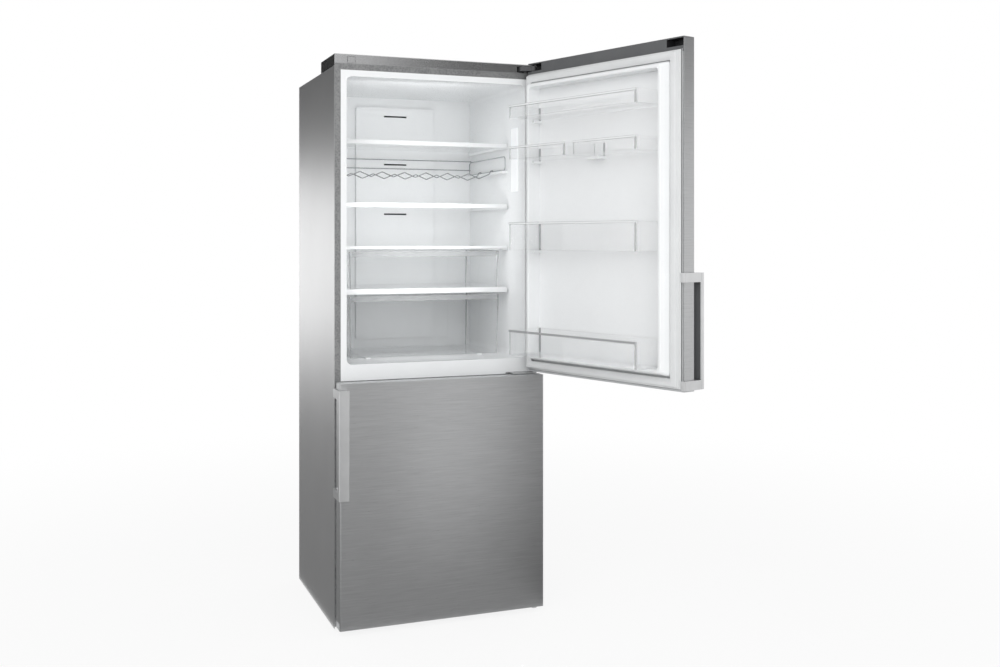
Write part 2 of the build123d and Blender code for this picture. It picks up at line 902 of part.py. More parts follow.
def lower_drawer():
    return clear_drawer(fridge_floor + runner_height + running_clearance, lower_drawer_height)


# Inside the freezer compartment

def freezer_shelves():
    half = wall_at(freezer_shelf_back) - shelf_side_gap
    plates = []
    for level in (freezer_lower_shelf, freezer_upper_shelf):
        top = freezer_floor + level
        plates.append(block(-half, half, freezer_drawer_front + trim_depth, freezer_shelf_back,
                            top - shelf_glass, top))
    return group(plates)


def freezer_drawer(z0, z1, back):
    half = freezer_drawer_half_width
    tray = open_tray(-half, half, freezer_drawer_front + freezer_drawer_front_wall / 2, back, z0, z1,
                     drawer_wall, drawer_draft, drawer_corner)
    panel = upright_panel(half, z0, z1, drawer_corner, freezer_drawer_front,
                          freezer_drawer_front + freezer_drawer_front_wall)
    grip_top = z1 - grip_height / 2
    return tray + panel - block(-grip_width / 2, grip_width / 2, freezer_drawer_front,
                                freezer_drawer_front + freezer_drawer_front_wall + drawer_draft,
                                grip_top - grip_height, grip_top)


def freezer_bottom_drawer():
    top = freezer_floor + freezer_lower_shelf - shelf_glass - freezer_drawer_head
    return freezer_drawer(freezer_floor + running_clearance, top, hump_front - bottom_drawer_back_gap)


def freezer_middle_drawer():
    z0 = freezer_floor + freezer_lower_shelf + running_clearance
    top = freezer_floor + freezer_upper_shelf - shelf_glass - freezer_drawer_head
    return freezer_drawer(z0, top, freezer_shelf_back)


def freezer_top_drawer():
    z0 = freezer_floor + freezer_upper_shelf + running_clearance
    return freezer_drawer(z0, freezer_ceiling - freezer_drawer_head, freezer_shelf_back)


def freezer_fan_place():
    y = duct_cover_front + duct_cover_sheet + fan_hub_length + fan_tip_gap
    return Pos(0, y, freezer_ceiling - freezer_fan_height) * Rot(90, 0, 0)


def freezer_duct_cover():
    half = wall_at(duct_cover_front) - shelf_side_gap
    back = duct_cover_front + duct_cover_sheet
    cover = upright_panel(half, hump_top, freezer_ceiling, duct_corner, duct_cover_front, back)
    cover -= lengthwise(0, freezer_ceiling - freezer_fan_height, freezer_fan_radius, duct_cover_front, back)
    for level in (freezer_lower_shelf, freezer_upper_shelf):
        z = freezer_floor + level + slot_width / 2
        for x in (-half / 2, half / 2):
            cover -= block(x - slot_width, x + slot_width, duct_cover_front, back, z, z + 2 * slot_height)
    return cover


def evaporator_fan():
    return freezer_fan_place() * fan(freezer_fan_radius - fan_tip_gap)


def evaporator_fan_motor():
    unit = freezer_fan_place() * Pos(0, 0, -fan_tip_gap) * motor(fan_tip_gap + fan_hub_length * 0.6)
    back = duct_cover_front + duct_cover_sheet
    y = back + fan_hub_length + 2 * fan_tip_gap
    z = freezer_ceiling - freezer_fan_height
    for side in (-1, 1):
        x = side * (freezer_fan_radius + fan_tip_gap)
        unit += block(x - fan_tip_gap / 2, x + fan_tip_gap / 2, back, y + fan_tip_gap,
                      z - fan_tip_gap, z + fan_tip_gap)
    reach = freezer_fan_radius + 1.5 * fan_tip_gap
    unit += block(-reach, reach, y, y + fan_tip_gap, z - fan_tip_gap, z + fan_tip_gap)
    return unit


def evaporator():
    """Finned coil that stands on the step over the machine space, against the back of the liner."""
    y1 = compartment_depth - seat_clearance
    y0 = y1 - fin_depth
    z0 = hump_top
    width = (fin_count - 1) * fin_pitch
    coil = None
    for index in range(fin_count):
        x = -width / 2 + index * fin_pitch
        fin = block(x - fin_sheet / 2, x + fin_sheet / 2, y0, y1, z0, z0 + fin_height)
        coil = fin if coil is None else coil + fin
    half = width / 2 + fin_sheet
    rows = int(fin_height / coil_rise)
    first = z0 + (fin_height - (rows - 1) * coil_rise) / 2
    for row in range(rows):
        y = (y0 + y1) / 2
        z = first + row * coil_rise
        coil += tube(Line((-half, y, z), (half, y, z)), coil_tube_radius)
    return coil


# Doors, made shut

def door_block(inset, z0, z1):
    """The door's slab between two levels, inset from the outside of its skin."""
    slab_piece = block(-door_half + inset, door_half - inset, door_outer + inset, door_inner, z0, z1)
    front_edges = slab_piece.edges().filter_by(Axis.Z).group_by(Axis.Y)[0]
    return fillet(front_edges, door_edge - inset)


def hinge_pockets(z_top):
    """Room in the top of the upper door for the hinge arm, at either end."""
    z1 = z_top - pocket_roof
    z0 = arm_bottom - pocket_play
    right = block(door_half - pocket_length, door_half + door_sheet, door_inner - pocket_depth,
                  door_inner + door_sheet, z0, z1)
    left = block(-door_half + 2 * door_sheet, -door_half + pocket_length, door_inner - pocket_depth,
                 door_inner + door_sheet, z0, z1)
    return right + left


def pin_bore(z0, z1):
    return upright(pin_x, pin_y, pin_hole, z0, z1)


def door_skin(z0, z1):
    far = cabinet_depth
    core = door_block(door_sheet, z0 - far, z1 + far)
    return door_block(0, z0, z1) - core


def skin_returns(z0, z1):
    """The skin's edges, folded in behind the inner panel on both sides."""
    right = block(door_half - skin_return, door_half, door_inner - door_sheet, door_inner, z0, z1)
    return right + mirror(right, Plane.YZ)


def cap_ends(z0, z1):
    """The parts of an end cap that show at the door's two sides, in place of the skin."""
    right = block(door_half - door_sheet, door_half, door_outer + door_edge, door_inner, z0, z1)
    return right + mirror(right, Plane.YZ)


def gasket(z0, z1):
    """Soft seal round the door: a ring whose outer side leans in towards the cabinet."""
    back = door_inner + liner_wall
    front = -gasket_clearance
    half = door_half - liner_inset
    low = z0 + liner_inset
    high = z1 - liner_inset
    middle = (low + high) / 2

    def ring_section(y, shrink):
        shape = RectangleRounded(2 * (half - shrink), high - low - 2 * shrink, gasket_corner)
        return facing(y) * Pos(0, middle) * shape

    outer = loft([ring_section(back, 0), ring_section(front, gasket_lean)], ruled=True)
    hole = loft([ring_section(back, gasket_width), ring_section(front, gasket_width - gasket_inner_lean)],
                ruled=True)
    return outer - hole


def door_liner(z0, z1, opening_low, opening_high, reach):
    """Moulded inner panel with a raised ridge that fits inside the compartment's opening."""
    face = door_inner + liner_wall
    panel = block(-door_half + liner_inset, door_half - liner_inset, door_inner, face,
                  z0 + liner_inset, z1 - liner_inset)
    half = ridge_half
    low = opening_low - ridge_foot
    high = opening_high + ridge_foot
    middle = (low + high) / 2

    def ridge_section(y, shrink):
        shape = RectangleRounded(2 * (half - shrink), high - low - 2 * shrink, ridge_corner)
        return facing(y) * Pos(0, middle) * shape

    ridge = loft([ridge_section(face, 0), ridge_section(door_inner + reach, ridge_lean)], ruled=True)
    ridge -= upright_panel(half - ridge_width, low + ridge_width, high - ridge_width,
                           liner_corner / 2, face, door_inner + reach)
    crest = ridge.edges().group_by(Axis.Y)[-1]
    ridge = fillet(crest, ridge_round)
    return panel + ridge


def handle(z0):
    """Flat bar on two brackets that wrap the door's edge."""
    side = -door_half
    outer = side - handle_wrap
    z1 = z0 + handle_length
    bar_back = door_outer - handle_gap
    bar = block(outer, outer + handle_width, bar_back - handle_thickness, bar_back, z0, z1)
    bar = fillet(bar.edges().filter_by(Axis.Z), handle_edge)
    bar -= block(outer + handle_wall, outer + handle_width - handle_wall, bar_back - handle_channel, bar_back,
                 z0 + handle_bracket_height, z1 - handle_bracket_height)
    outline = [
        (outer, door_inner + handle_hook),
        (side + handle_lap, door_inner + handle_hook),
        (side + handle_lap, door_inner),
        (side, door_inner),
        (side, door_outer),
        (outer + handle_width, door_outer),
        (outer + handle_width, bar_back),
        (outer, bar_back),
    ]
    solids = [bar]
    for z in (z0, z1 - handle_bracket_height):
        bracket = plan(outline, z, z + handle_bracket_height)
        outside = bracket.edges().filter_by(Axis.Z).group_by(Axis.X)[0].sort_by(Axis.Y)[-1]
        solids.append(fillet(outside, handle_edge))
    return group(solids)


def fridge_door_skin():
    skin = door_skin(fridge_door_bottom, fridge_door_top)
    skin -= cap_ends(fridge_door_bottom, fridge_door_bottom + cap_end_height)
    skin += skin_returns(fridge_door_bottom + cap_height, fridge_door_top - top_cap_height)
    return skin - hinge_pockets(fridge_door_top)


def fridge_door_top_cap():
    low = fridge_door_top - top_cap_height
    cap = door_block(door_sheet, low, fridge_door_top)
    cap -= hinge_pockets(fridge_door_top)
    return cap - pin_bore(low + pocket_play / 2, fridge_door_top - pocket_roof)


def fridge_door_bottom_cap():
    high = fridge_door_bottom + cap_height
    cap = door_block(door_sheet, fridge_door_bottom, high)
    cap += cap_ends(fridge_door_bottom, fridge_door_bottom + cap_end_height)
    return cap - pin_bore(fridge_door_bottom, high - hinge_sheet)


def fridge_door_foam():
    low = fridge_door_bottom + cap_height
    high = fridge_door_top - top_cap_height
    return door_block(door_sheet, low, high) - skin_returns(low, high)


def fridge_door_gasket():
    return gasket(fridge_door_bottom, seal_top)


def bin_places():
    """x0, x1, floor and height of every bin on the door."""
    half = bin_half_width
    gap = bin_split / 2
    base = fridge_door_bottom
    top = fridge_door_top
    return {
        "top_bin": [(-half, half, top - top_bin_drop, top_bin_height)],
        "half_bins": [
            (-half, -gap, top - half_bin_drop, half_bin_height),
            (gap, half, top - half_bin_drop, half_bin_height),
        ],
        "middle_bin": [(-half, half, base + middle_bin_level, middle_bin_height)],
        "bottle_bin": [(-half, half, base + bottle_bin_level, bottle_bin_height)],
    }


def bin_strip_room(place):
    """x0, x1, y0, y1, z0 and z1 of the strip along the top of a bin's front wall."""
    x0, x1, z0, height = place
    front = door_inner + bin_reach + rim_overhang
    top = z0 + height
    return x0 - rim_overhang, x1 + rim_overhang, front - rim_width, front, top - rim_height, top


def bin_tray(place):
    """A clear box whose front wall stops below the strip that it carries."""
    x0, x1, z0, height = place
    y0 = door_inner + liner_wall + bin_liner_gap
    y1 = door_inner + bin_reach
    tray = open_tray(x0, x1, y0, y1, z0, z0 + height, bin_wall, 0, bin_corner)
    return tray - block(x0, x1, y1 - bin_corner, y1, z0 + height - rim_height, z0 + height)


def bin_rim(place):
    return block(*bin_strip_room(place))


def bins(name):
    return group([bin_tray(place) for place in bin_places()[name]])


def bin_rims():
    rims = []
    for places in bin_places().values():
        rims += [bin_rim(place) for place in places]
    return group(rims)


def fridge_door_liner():
    liner = door_liner(fridge_door_bottom, seal_top, fridge_floor, fridge_ceiling, ridge_reach)
    ridge_inside = ridge_half - ridge_width
    face = door_inner + liner_wall
    lug_front = face + lug_length
    for places in bin_places().values():
        for x0, x1, z0, height in places:
            top = z0 - seat_clearance
            for side, edge in ((-1, x0), (1, x1)):
                inner_end = edge - side * lug_lap
                if abs(edge) < bin_half_width:
                    outer_end = 0
                else:
                    outer_end = side * (ridge_inside + liner_wall)
                low_x = min(inner_end, outer_end)
                high_x = max(inner_end, outer_end)
                liner += block(low_x, high_x, face - liner_wall / 2, lug_front, top - lug_height, top)
    return liner


def freezer_door_skin():
    skin = door_skin(freezer_door_bottom, freezer_door_top)
    skin -= cap_ends(freezer_door_top - cap_end_height, freezer_door_top)
    skin -= cap_ends(freezer_door_bottom, freezer_door_bottom + cap_end_height)
    return skin + skin_returns(freezer_door_bottom + cap_height, freezer_door_top - cap_height)


def freezer_door_caps():
    top_low = freezer_door_top - cap_height
    top = door_block(door_sheet, top_low, freezer_door_top)
    top += cap_ends(freezer_door_top - cap_end_height, freezer_door_top)
    top -= pin_bore(top_low + hinge_sheet, freezer_door_top)
    bottom_high = freezer_door_bottom + cap_height
    bottom = door_block(door_sheet, freezer_door_bottom, bottom_high)
    bottom += cap_ends(freezer_door_bottom, freezer_door_bottom + cap_end_height)
    bottom -= pin_bore(freezer_door_bottom, bottom_high - hinge_sheet)
    return group([top, bottom])


def freezer_door_foam():
    low = freezer_door_bottom + cap_height
    high = freezer_door_top - cap_height
    return door_block(door_sheet, low, high) - skin_returns(low, high)


def freezer_door_gasket():
    return gasket(freezer_door_bottom, freezer_door_top)


def freezer_door_liner():
    return door_liner(freezer_door_bottom, freezer_door_top, freezer_floor, freezer_ceiling,
                      freezer_ridge_reach)


def fridge_handle():
    return handle(fridge_door_bottom + fridge_handle_lift)


def freezer_handle():
    return handle(freezer_door_top - freezer_handle_drop - handle_length)


def opened(shape):
    """Swings a piece of the upper door out to the angle it is shown at."""
    return shape.rotate(Axis((pin_x, pin_y, 0), (0, 0, 1)), door_open_angle)


def build():
    left_roller, right_roller = roller_places()
    pieces = {
        "cabinet_panels": cabinet_panels(),
        "back_panel": back_panel(),
        "front_frame": front_frame(),
        "insulation": insulation(),
        "fridge_liner": fridge_liner(),
        "freezer_liner": freezer_liner(),
        "top_cover": top_cover(),
        "hinge_slot_plug": hinge_slot_plug(),
        "control_board": control_board(),
        "top_hinge": top_hinge(),
        "middle_hinge": middle_hinge(),
        "lower_hinge": lower_hinge(),
        "front_left_foot": front_left_foot(),
        "front_right_foot": front_right_foot(),
        "base_plate": base_plate(),
        "roller_axles": roller_axles(),
        "left_rear_roller": rear_roller(left_roller),
        "right_rear_roller": rear_roller(right_roller),
        "compressor": compressor(),
        "drip_tray": drip_tray(),
        "condenser_coil": condenser_coil(),
        "condenser_fan": condenser_fan(),
        "condenser_fan_motor": condenser_fan_motor(),
        "rear_cover": rear_cover(),
        "upper_shelf_glass": shelf_glass_plate(upper_shelf_height),
        "middle_shelf_glass": shelf_glass_plate(middle_shelf_height),
        "crisper_cover_glass": shelf_glass_plate(crisper_cover_height),
        "shelf_trims": shelf_trims(),
        "drawer_divider": drawer_divider(),
        "wine_rack": wine_rack(),
        "fridge_duct_cover": fridge_duct_cover(),
        "interior_lamp": interior_lamp(),
        "upper_drawer": upper_drawer(),
        "lower_drawer": lower_drawer(),
        "freezer_shelves": freezer_shelves(),
        "freezer_top_drawer": freezer_top_drawer(),
        "freezer_middle_drawer": freezer_middle_drawer(),
        "freezer_bottom_drawer": freezer_bottom_drawer(),
        "freezer_duct_cover": freezer_duct_cover(),
        "evaporator": evaporator(),
        "evaporator_fan": evaporator_fan(),
        "evaporator_fan_motor": evaporator_fan_motor(),
        "freezer_door_skin": freezer_door_skin(),
        "freezer_door_foam": freezer_door_foam(),
        "freezer_door_liner": freezer_door_liner(),
        "freezer_door_caps": freezer_door_caps(),
        "freezer_door_gasket": freezer_door_gasket(),
        "freezer_handle": freezer_handle(),
    }
    upper_door = {
        "fridge_door_skin": fridge_door_skin(),
        "fridge_door_foam": fridge_door_foam(),
        "fridge_door_liner": fridge_door_liner(),
        "fridge_door_top_cap": fridge_door_top_cap(),
        "fridge_door_bottom_cap": fridge_door_bottom_cap(),
        "fridge_door_gasket": fridge_door_gasket(),
        "fridge_handle": fridge_handle(),
        "bin_rims": bin_rims(),
    }
    for name in bin_places():
        upper_door[name] = bins(name)
    for name, piece in upper_door.items():
        pieces[name] = opened(piece)
    return pieces


os.makedirs("parts", exist_ok=True)
for name, piece in build().items():
    export_step(piece, f"parts/{name}.step")
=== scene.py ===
import json
import math

import bmesh
import bpy
from mathutils import Matrix, Vector


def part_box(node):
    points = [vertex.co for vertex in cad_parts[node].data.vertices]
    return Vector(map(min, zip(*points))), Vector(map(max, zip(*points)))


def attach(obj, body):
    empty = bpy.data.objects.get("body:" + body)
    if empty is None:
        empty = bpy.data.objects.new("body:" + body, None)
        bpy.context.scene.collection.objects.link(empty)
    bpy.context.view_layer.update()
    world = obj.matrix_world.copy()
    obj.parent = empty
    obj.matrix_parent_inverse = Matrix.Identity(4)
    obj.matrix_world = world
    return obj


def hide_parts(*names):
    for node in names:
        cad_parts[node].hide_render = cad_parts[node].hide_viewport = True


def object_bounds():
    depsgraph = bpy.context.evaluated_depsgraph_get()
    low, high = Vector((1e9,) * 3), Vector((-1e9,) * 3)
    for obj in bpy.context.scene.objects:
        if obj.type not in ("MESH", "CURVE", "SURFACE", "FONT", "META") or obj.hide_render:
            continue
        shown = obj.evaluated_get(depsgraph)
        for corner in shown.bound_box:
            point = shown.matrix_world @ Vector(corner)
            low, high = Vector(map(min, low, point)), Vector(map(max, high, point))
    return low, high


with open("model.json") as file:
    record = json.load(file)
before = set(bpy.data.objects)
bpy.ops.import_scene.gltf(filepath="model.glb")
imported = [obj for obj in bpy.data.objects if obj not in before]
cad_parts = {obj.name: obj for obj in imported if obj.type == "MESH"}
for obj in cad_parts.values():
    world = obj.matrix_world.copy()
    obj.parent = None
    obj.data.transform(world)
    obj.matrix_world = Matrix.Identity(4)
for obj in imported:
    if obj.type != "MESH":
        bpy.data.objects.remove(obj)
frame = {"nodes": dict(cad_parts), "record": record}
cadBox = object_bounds()
cadNodes = frame["nodes"]
scene = bpy.context.scene
scene.view_settings.view_transform = "Standard"
scene.cycles.transparent_max_bounces = 32  # bins and drawers put many clear walls one behind another
print("frame loaded:", len(cadNodes), "nodes")


# Shader helpers

noiseSpan = (0.3, 0.7)  # nearly all of a noise field lies between these
unstretched = (1, 1, 1)
white = (1, 1, 1, 1)
black = (0, 0, 0, 1)


def shaderOf(material):
    return material.node_tree.nodes["Principled BSDF"]


def startMaterial(name):
    material = bpy.data.materials.new(name)
    material.use_nodes = True
    return material, material.node_tree, shaderOf(material)


def setInputs(node, values):
    for socketName, value in values.items():
        node.inputs[socketName].default_value = value


def stretchedCoords(tree, stretch=unstretched):
    coords = tree.nodes.new("ShaderNodeTexCoord")
    mapping = tree.nodes.new("ShaderNodeMapping")
    setInputs(mapping, {"Scale": stretch})
    tree.links.new(coords.outputs["Object"], mapping.inputs["Vector"])
    return mapping.outputs["Vector"]


def noiseField(tree, scale, detail, stretch=unstretched, rough=0.55):
    noise = tree.nodes.new("ShaderNodeTexNoise")
    setInputs(noise, {"Scale": scale, "Detail": detail, "Roughness": rough})
    tree.links.new(stretchedCoords(tree, stretch), noise.inputs["Vector"])
    return noise.outputs["Fac"]


def mixFields(tree, first, second, share):
    mix = tree.nodes.new("ShaderNodeMix")
    mix.data_type = "FLOAT"
    setInputs(mix, {"Factor": share})
    tree.links.new(first, mix.inputs["A"])
    tree.links.new(second, mix.inputs["B"])
    return mix.outputs["Result"]


def rampColours(tree, field, places, colours):
    ramp = tree.nodes.new("ShaderNodeValToRGB")
    for element, place, colour in zip(ramp.color_ramp.elements, places, colours):
        element.position = place
        element.color = (*colour, 1)
    tree.links.new(field, ramp.inputs["Fac"])
    return ramp.outputs["Color"]


def spread(tree, field, span):
    remap = tree.nodes.new("ShaderNodeMapRange")
    setInputs(remap, {"From Min": noiseSpan[0], "From Max": noiseSpan[1],
                      "To Min": span[0], "To Max": span[1]})
    tree.links.new(field, remap.inputs["Value"])
    return remap.outputs["Result"]


def bumpFrom(tree, field, strength, depth):
    bump = tree.nodes.new("ShaderNodeBump")
    setInputs(bump, {"Strength": strength, "Distance": depth})
    tree.links.new(field, bump.inputs["Height"])
    return bump.outputs["Normal"]


def shade(colour, factor):
    return tuple(min(1.0, max(0.0, part * factor)) for part in colour)


# Painted, moulded and plain metal finishes: a faint cloud in the colour and a fine grain

plainGrain = {  # for looks that don't name a value of their own
    "vary": 0.06, "cloud": 9.0, "cloudDetail": 4.0, "grainDetail": 2.0, "stretch": unstretched,
    "depth": 0.0004, "metal": 0.0, "gloss": 0.5, "coat": 0.0, "coatRough": 0.12,
}
grainedLooks = {
    "side_grey": {"colour": (0.5, 0.502, 0.506), "vary": 0.02, "cloud": 5.0, "grain": 700.0,
                  "rough": (0.36, 0.43), "bump": 0.06, "metal": 0.9},
    "back_grey": {"colour": (0.5, 0.51, 0.52), "vary": 0.03, "grain": 420.0,
                  "rough": (0.45, 0.6), "bump": 0.08, "metal": 0.3},
    "white_plastic": {"colour": (0.88, 0.893, 0.9), "vary": 0.012, "cloud": 6.0, "grain": 350.0,
                      "rough": (0.26, 0.34), "bump": 0.03, "gloss": 0.45},
    # a darker copy of white_plastic: painted shade on the shelf trims and the drawer divider
    "trim_white_painted_shade": {"colour": (0.78, 0.79, 0.797), "vary": 0.015, "cloud": 6.0, "grain": 350.0,
                   "rough": (0.3, 0.38), "bump": 0.03, "gloss": 0.4},
    "band_grey": {"colour": (0.5, 0.503, 0.507), "vary": 0.04, "grain": 600.0,
                  "rough": (0.2, 0.26), "bump": 0.04, "metal": 0.95},
    "foam": {"colour": (0.86, 0.82, 0.66), "vary": 0.1, "cloud": 60.0, "grain": 500.0,
             "rough": (0.8, 0.95), "bump": 0.5},
    "board_green": {"colour": (0.05, 0.24, 0.1), "vary": 0.2, "cloud": 80.0, "grain": 400.0,
                    "rough": (0.35, 0.5), "bump": 0.1},
    "zinc_steel": {"colour": (0.5, 0.505, 0.51), "vary": 0.12, "cloud": 40.0, "grain": 500.0,
                   "rough": (0.28, 0.45), "bump": 0.08, "metal": 1.0},
    "hinge_grey": {"colour": (0.085, 0.086, 0.09), "vary": 0.15, "cloud": 40.0, "grain": 500.0,
                   "rough": (0.34, 0.48), "bump": 0.08, "metal": 0.4},
    "black_plastic": {"colour": (0.02, 0.02, 0.022), "vary": 0.2, "grain": 900.0,
                      "rough": (0.42, 0.58), "bump": 0.2},
    "black_paint": {"colour": (0.015, 0.015, 0.016), "vary": 0.25, "cloud": 20.0, "grain": 160.0,
                    "rough": (0.25, 0.4), "bump": 0.1, "coat": 0.3},
    "light_grey_plastic": {"colour": (0.55, 0.56, 0.57), "vary": 0.03, "grain": 700.0,
                           "rough": (0.35, 0.48), "bump": 0.08},
    "dark_grey_plastic": {"colour": (0.105, 0.108, 0.112), "vary": 0.06, "grain": 1000.0,
                          "rough": (0.42, 0.55), "bump": 0.12},
    "coil_metal": {"colour": (0.7, 0.71, 0.72), "vary": 0.1, "cloud": 30.0, "grain": 300.0,
                   "rough": (0.25, 0.4), "bump": 0.08, "metal": 1.0},
    "chrome_wire": {"colour": (0.46, 0.47, 0.48), "vary": 0.04, "grain": 250.0,
                    "rough": (0.1, 0.2), "bump": 0.03, "metal": 1.0},
    "rim_grey": {"colour": (0.34, 0.345, 0.35), "vary": 0.04, "grain": 700.0,
                 "rough": (0.3, 0.4), "bump": 0.06},
    "seal_grey": {"colour": (0.72, 0.73, 0.735), "vary": 0.03, "grain": 900.0,
                  "rough": (0.5, 0.65), "bump": 0.1},
    "handle_silver": {"colour": (0.69, 0.695, 0.7), "vary": 0.05, "cloud": 14.0, "grain": 1.0,
                      "stretch": (900, 900, 12), "rough": (0.28, 0.4), "bump": 0.1, "metal": 0.9},
}


def grainedFinish(name, ownLook):
    look = {**plainGrain, **ownLook}
    material, tree, shader = startMaterial(name)
    cloud = noiseField(tree, look["cloud"], look["cloudDetail"])
    grain = noiseField(tree, look["grain"], look["grainDetail"], look["stretch"])
    tints = [shade(look["colour"], 1 - look["vary"]), shade(look["colour"], 1 + look["vary"])]
    tree.links.new(rampColours(tree, cloud, noiseSpan, tints), shader.inputs["Base Color"])
    tree.links.new(spread(tree, grain, look["rough"]), shader.inputs["Roughness"])
    tree.links.new(bumpFrom(tree, grain, look["bump"], look["depth"]), shader.inputs["Normal"])
    setInputs(shader, {"Metallic": look["metal"], "Specular IOR Level": look["gloss"],
                       "Coat Weight": look["coat"], "Coat Roughness": look["coatRough"]})
    return material


# Clear plastic and glass

plainClear = {"vary": (0.985, 1.01), "cloudDetail": 3.0, "rippleDetail": 2.0, "depth": 0.0006,
              "clear": 1.0, "bend": 1.5, "edgeFrom": 0.5}
clearLooks = {
    "clear_plastic": {"colour": (0.94, 0.955, 0.96), "cloud": 8.0, "rough": (0.02, 0.06),
                      "ripple": 30.0, "bump": 0.02, "body": 0.06, "edge": 0.5},
    "shelf_glass": {"colour": (0.93, 0.965, 0.955), "cloud": 4.0, "rough": (0.01, 0.03),
                    "ripple": 12.0, "bump": 0.01, "body": 0.07, "edge": 0.6},
}


def clearFinish(name, ownLook):
    look = {**plainClear, **ownLook}
    material, tree, shader = startMaterial(name)
    cloud = noiseField(tree, look["cloud"], look["cloudDetail"])
    ripple = noiseField(tree, look["ripple"], look["rippleDetail"])
    tints = [shade(look["colour"], factor) for factor in look["vary"]]
    tree.links.new(rampColours(tree, cloud, noiseSpan, tints), shader.inputs["Base Color"])
    tree.links.new(spread(tree, cloud, look["rough"]), shader.inputs["Roughness"])
    tree.links.new(bumpFrom(tree, ripple, look["bump"], look["depth"]), shader.inputs["Normal"])
    setInputs(shader, {"Transmission Weight": look["clear"], "IOR": look["bend"]})
    facing = tree.nodes.new("ShaderNodeLayerWeight")  # edges and grazing walls show more than flat faces
    edge = tree.nodes.new("ShaderNodeMapRange")
    setInputs(edge, {"From Min": look["edgeFrom"], "To Min": look["body"], "To Max": look["edge"]})
    tree.links.new(facing.outputs["Facing"], edge.inputs["Value"])
    tree.links.new(edge.outputs["Result"], shader.inputs["Alpha"])
    return material


# Brushed skin of the doors: hairlines run level, with broader streaks under them

brushedSteel = {
    "light": (0.61, 0.615, 0.622), "dark": (0.465, 0.47, 0.476), "places": (0.32, 0.68),
    "hair": {"scale": 1.0, "detail": 4.0, "stretch": (14, 14, 900), "rough": 0.7},
    "streak": {"scale": 1.0, "detail": 5.0, "stretch": (9, 9, 240), "rough": 0.65}, "streakShare": 0.45,
    "rough": (0.27, 0.4), "bump": 0.12, "depth": 0.0003, "metal": 1.0, "drawnOut": 0.7, "turn": 0.25,
}


def brushedFinish(name, look):
    material, tree, shader = startMaterial(name)
    hair = noiseField(tree, **look["hair"])
    streak = noiseField(tree, **look["streak"])
    mixed = mixFields(tree, hair, streak, look["streakShare"])
    tints = (look["dark"], look["light"])
    tree.links.new(rampColours(tree, mixed, look["places"], tints), shader.inputs["Base Color"])
    tree.links.new(spread(tree, hair, look["rough"]), shader.inputs["Roughness"])
    tree.links.new(bumpFrom(tree, mixed, look["bump"], look["depth"]), shader.inputs["Normal"])
    setInputs(shader, {"Metallic": look["metal"], "Anisotropic": look["drawnOut"],  # across the hairlines
                       "Anisotropic Rotation": look["turn"]})
    return material


# Zinc-coated strips round the openings, with a spangle

galvanised = {
    "light": (0.35, 0.353, 0.355), "dark": (0.24, 0.243, 0.246), "places": (0.3, 0.6), "spangle": 160.0,
    "cloud": {"scale": 24.0, "detail": 5.0}, "cloudShare": 0.6, "rough": (0.34, 0.5), "bump": 0.08,
    "depth": 0.0004, "metal": 0.75,
}


def galvanisedFinish(name, look):
    material, tree, shader = startMaterial(name)
    flakes = tree.nodes.new("ShaderNodeTexVoronoi")
    setInputs(flakes, {"Scale": look["spangle"]})
    tree.links.new(stretchedCoords(tree), flakes.inputs["Vector"])
    cloud = noiseField(tree, **look["cloud"])
    mixed = mixFields(tree, flakes.outputs["Distance"], cloud, look["cloudShare"])
    tints = (look["dark"], look["light"])
    tree.links.new(rampColours(tree, mixed, look["places"], tints), shader.inputs["Base Color"])
    tree.links.new(spread(tree, cloud, look["rough"]), shader.inputs["Roughness"])
    tree.links.new(bumpFrom(tree, mixed, look["bump"], look["depth"]), shader.inputs["Normal"])
    setInputs(shader, {"Metallic": look["metal"]})
    return material


# Lamp cover that glows a little

lampGlow = {"colour": (0.93, 0.95, 0.97), "grain": 300.0, "rough": (0.3, 0.4), "bump": 0.05, "strength": 0.1}


def lampFinish(name, look):
    material = grainedFinish(name, look)
    setInputs(shaderOf(material), {"Emission Color": (*look["colour"], 1),
                                   "Emission Strength": look["strength"]})
    return material


# Cut edges, corners and frosted fronts of clear pieces; the greys on edges and corners are painted shade
# lines

clearEdgeShade = {"colour": (0.4, 0.41, 0.415), "vary": 0.05, "cloud": 20.0, "grain": 300.0,
             "rough": (0.12, 0.2), "bump": 0.03, "cover": 0.5}
edgeLooks = {
    "clear_edge_shade": clearEdgeShade,
    # a darker grey for rounded edges: painted shade lines
    "clear_line_shade": {**clearEdgeShade, "colour": (0.22, 0.225, 0.23), "cover": 0.75},
    "frosted_front": {**clearEdgeShade, "colour": (0.82, 0.84, 0.85), "rough": (0.35, 0.45), "cover": 0.6},
}


def edgeFinish(name, look):
    material = grainedFinish(name, look)
    setInputs(shaderOf(material), {"Alpha": look["cover"]})
    return material


finishKinds = (
    (grainedFinish, grainedLooks), (clearFinish, clearLooks), (brushedFinish, {"door_steel": brushedSteel}),
    (galvanisedFinish, {"frame_grey": galvanised}), (lampFinish, {"lamp_white": lampGlow}),
    (edgeFinish, edgeLooks),
)
finishes = {}
for makeFinish, looks in finishKinds:
    for finishName, finishLook in looks.items():
        finishes[finishName] = makeFinish(finishName, finishLook)
print("finishes made:", len(finishes))


# Dressing of the solids: finish, and small rounded edges where the sheet or wall allows

